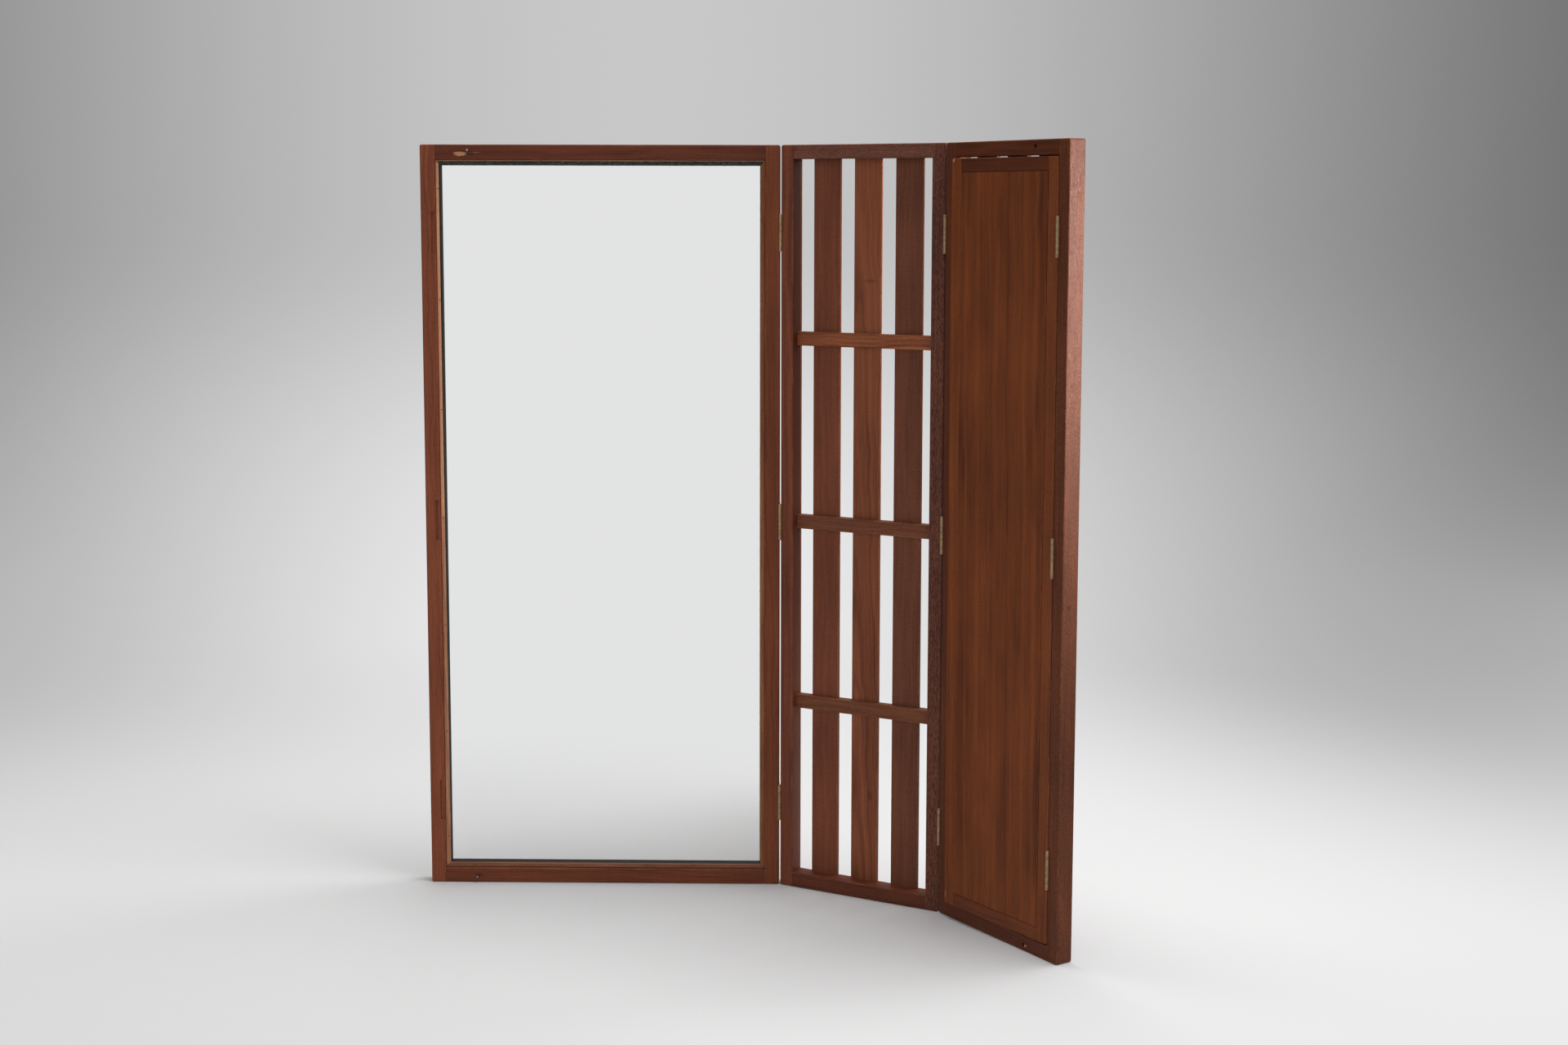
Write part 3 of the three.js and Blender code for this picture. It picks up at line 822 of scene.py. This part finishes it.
def dressFrames():
    for number, (name, node) in enumerate(sorted(nodes.items())):
        if "leaf" in name:
            material = brass
        elif "pin" in name:
            material = steel
        elif name in glasses:
            material = mirrorFinish(node, glasses[name])
        else:
            material = teak(node, woodOf(name), grainOf(name), number)
        node.data.materials.clear()
        node.data.materials.append(material)


dressFrames()
print("finishes on:", len(nodes), "pieces")


# Geometry nodes for what repeats: a tree with named inputs, which puts one shape at every point of a mesh
class Pattern:
    def __init__(self, name, sizes):
        self.tree = bpy.data.node_groups.new(name, "GeometryNodeTree")
        self.tree.interface.new_socket("Points", in_out="INPUT", socket_type="NodeSocketGeometry")
        self.given = {}
        for label, size in sizes.items():
            socket = self.tree.interface.new_socket(label, in_out="INPUT", socket_type="NodeSocketFloat")
            self.given[socket.identifier] = size
        self.tree.interface.new_socket("Geometry", in_out="OUTPUT", socket_type="NodeSocketGeometry")
        self.start = self.tree.nodes.new("NodeGroupInput")

    def node(self, kind, settings=None, sockets=None, out=0):
        made = self.tree.nodes.new(kind)
        for name, value in (settings or {}).items():
            setattr(made, name, value)
        for name, value in (sockets or {}).items():
            for single in value if isinstance(value, list) else [value]:
                self.feed(made.inputs[name], single)
        return made.outputs[out]

    def feed(self, socket, value):
        if isinstance(value, bpy.types.NodeSocket):
            self.tree.links.new(value, socket)
        elif isinstance(value, str) and value in self.start.outputs:
            self.tree.links.new(self.start.outputs[value], socket)
        else:
            socket.default_value = value

    def math(self, operation, first, second):
        return self.node("ShaderNodeMath", {"operation": operation}, {0: first, 1: second})

    def point(self, x, y, z):
        return self.node("ShaderNodeCombineXYZ", None, {0: x, 1: y, 2: z})

    def cylinder(self, radius, low, high, sides):
        depth = self.math("SUBTRACT", high, low)
        middle = self.math("MULTIPLY", self.math("ADD", high, low), 0.5)
        sockets = {"Vertices": sides, "Radius": radius, "Depth": depth}
        made = self.node("GeometryNodeMeshCylinder", None, sockets)
        return self.moved(made, self.point(0.0, 0.0, middle))

    def moved(self, geometry, shift, scale=(1, 1, 1)):
        sockets = {"Geometry": geometry, "Translation": shift, "Scale": scale}
        return self.node("GeometryNodeTransform", None, sockets)

    def scatter(self, shape, material, seed):
        # each copy stands on the facing of its point and is spun at random about it
        vector = {"data_type": "FLOAT_VECTOR"}
        facing = self.node("GeometryNodeInputNamedAttribute", vector, {"Name": "facing"})
        upright = self.node("FunctionNodeAlignRotationToVector", {"axis": "Z"}, {"Vector": facing})
        sockets = {2: 0.0, 3: math.pi, "Seed": seed}
        spin = self.node("FunctionNodeRandomValue", {"data_type": "FLOAT"}, sockets, out=1)
        sockets = {"Axis": (0, 0, 1), "Angle": spin}
        about = self.node("FunctionNodeAxisAngleToRotation", None, sockets)
        sockets = {"Rotation": upright, "Rotate By": about}
        turned = self.node("FunctionNodeRotateRotation", {"rotation_space": "LOCAL"}, sockets)
        sockets = {"Points": "Points", "Instance": shape, "Rotation": turned}
        placed = self.node("GeometryNodeInstanceOnPoints", None, sockets)
        real = self.node("GeometryNodeRealizeInstances", None, {"Geometry": placed})
        painted = self.node("GeometryNodeSetMaterial", None, {"Geometry": real, "Material": material})
        self.tree.links.new(painted, self.tree.nodes.new("NodeGroupOutput").inputs[0])

    def lay(self, name, places, body, slot):
        points, facings = zip(*places)
        mesh = bpy.data.meshes.new(name)
        mesh.from_pydata(points, [], [])
        attribute = mesh.attributes.new("facing", "FLOAT_VECTOR", "POINT")
        for element, facing in zip(attribute.data, facings):
            element.vector = facing
        piece = bpy.data.objects.new(name, mesh)
        modifier = piece.modifiers.new("pattern", "NODES")
        modifier.node_group = self.tree
        for identifier, size in self.given.items():
            modifier[identifier] = size
        scene.collection.objects.link(piece)
        evaluated = piece.evaluated_get(bpy.context.evaluated_depsgraph_get())
        plain = bpy.data.meshes.new_from_object(evaluated)
        piece.modifiers.clear()
        piece.data = plain
        plain.name = name
        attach(piece, body)


# Slotted brass screws in every hinge leaf, three to a leaf. The pattern's inputs are in metres, and the rest
# places the screws on a leaf, in mm
screwSizes = {
    "head radius": 2.5 * mm,
    "proud": 0.08 * mm,
    "shank radius": 1.42 * mm,
    "sunk": 0.9 * mm,
    "slot width": 0.55 * mm,
    "slot depth": 0.35 * mm,
}
screw = {
    "head sides": 24,
    "shank sides": 16,
    "slot past radius": 2.4,
    "seed": 3,
    "rows": (-1, 0, 1),
    "pitch": 17,
    "knuckle clearance": 0.2,
    "edge of plate": 1,
}


def screwPattern():
    pattern = Pattern("screws", screwSizes)
    head = pattern.cylinder("head radius", 0.0, "proud", screw["head sides"])
    below = pattern.math("MULTIPLY", "sunk", -1.0)
    insideHead = pattern.math("MULTIPLY", "proud", 0.5)
    shank = pattern.cylinder("shank radius", below, insideHead, screw["shank sides"])
    slotLength = pattern.math("MULTIPLY", "head radius", screw["slot past radius"])
    size = pattern.point(slotLength, "slot width", "slot depth")
    slot = pattern.node("GeometryNodeMeshCube", None, {"Size": size})
    slot = pattern.moved(slot, pattern.point(0.0, 0.0, "proud"))
    union = {"operation": "UNION"}
    whole = pattern.node("GeometryNodeMeshBoolean", union, {"Mesh 2": [head, shank]})
    difference = {"operation": "DIFFERENCE"}
    cut = pattern.node("GeometryNodeMeshBoolean", difference, {"Mesh 1": whole, "Mesh 2": slot})
    pattern.scatter(cut, brass, screw["seed"])
    return pattern


def screwPlaces(node):
    # the plate reaches farther back than its knuckles, so the corners at the back are the plate's
    corners = leafCorners(node)
    front = min(corner.y for corner in corners)
    back = max(corner.y for corner in corners)
    plate = [corner.x for corner in corners if corner.y > back - screw["edge of plate"]]
    knuckles = [corner.x for corner in corners if corner.y < back - screw["edge of plate"]]
    pinX = (max(knuckles) + min(knuckles)) / 2
    thickness = max(knuckles) - min(knuckles)
    side = 1 if sum(plate) / len(plate) > pinX else -1
    face = min(plate) if side > 0 else max(plate)
    root = front + thickness + screw["knuckle clearance"]
    heights = [corner.z for corner in corners]
    middle = (min(heights) + max(heights)) / 2
    turned = leafMatrix(node["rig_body"])
    facing = turned.to_3x3() @ Vector((-side, 0, 0))
    places = [Vector((face, (root + back) / 2, middle + row * screw["pitch"])) for row in screw["rows"]]
    return [(turned @ (place * mm), facing) for place in places]


def addScrews():
    pattern = screwPattern()
    byBody = {}
    for name, node in sorted(nodes.items()):
        if "leaf" in name:
            byBody.setdefault(node["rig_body"], []).extend(screwPlaces(node))
    for body, places in byBody.items():
        pattern.lay("screws_" + body, places, body, "hinge_brass")
    return sum(len(places) for places in byBody.values())


# Small steel brads that hold the glazing beads. Their rows are in mm from the mirror's lower left corner
bradSizes = {"radius": 0.85 * mm, "proud": 0.3 * mm}
bradLook = {"segments": 12, "rings": 8, "seed": 5}
bradRows = {
    "upright": {"first": 62.6, "pitch": 146.6, "count": 7},
    "level": {"first": 60.1, "pitch": 117.3, "count": 4},
}


def bradPattern():
    pattern = Pattern("brads", bradSizes)
    sockets = {"Segments": bradLook["segments"], "Rings": bradLook["rings"], "Radius": "radius"}
    ball = pattern.node("GeometryNodeMeshUVSphere", None, sockets)
    flat = pattern.math("DIVIDE", "proud", "radius")
    domed = pattern.moved(ball, (0, 0, 0), pattern.point(1.0, 1.0, flat))
    pattern.scatter(domed, brad, bradLook["seed"])
    return pattern


def addBrads():
    places = []
    corner = leafBox(nodes["mirror_left_stile"])[0]
    for name in ("bead_left", "bead_right", "bead_top", "bead_bottom"):
        low, high = leafBox(nodes[name])
        middle = (low + high) / 2
        direction = grainOf(name)
        row = bradRows[direction]
        for number in range(row["count"]):
            along = row["first"] + row["pitch"] * number
            if direction == "upright":
                place = Vector((middle.x, low.y, corner.z + along))
            else:
                place = Vector((corner.x + along, low.y, middle.z))
            places.append((place * mm, Vector((0, -1, 0))))
    bradPattern().lay("brads", places, "mirror_panel", "pin_steel")
    return len(places)


print("screws:", addScrews(), "brads:", addBrads())
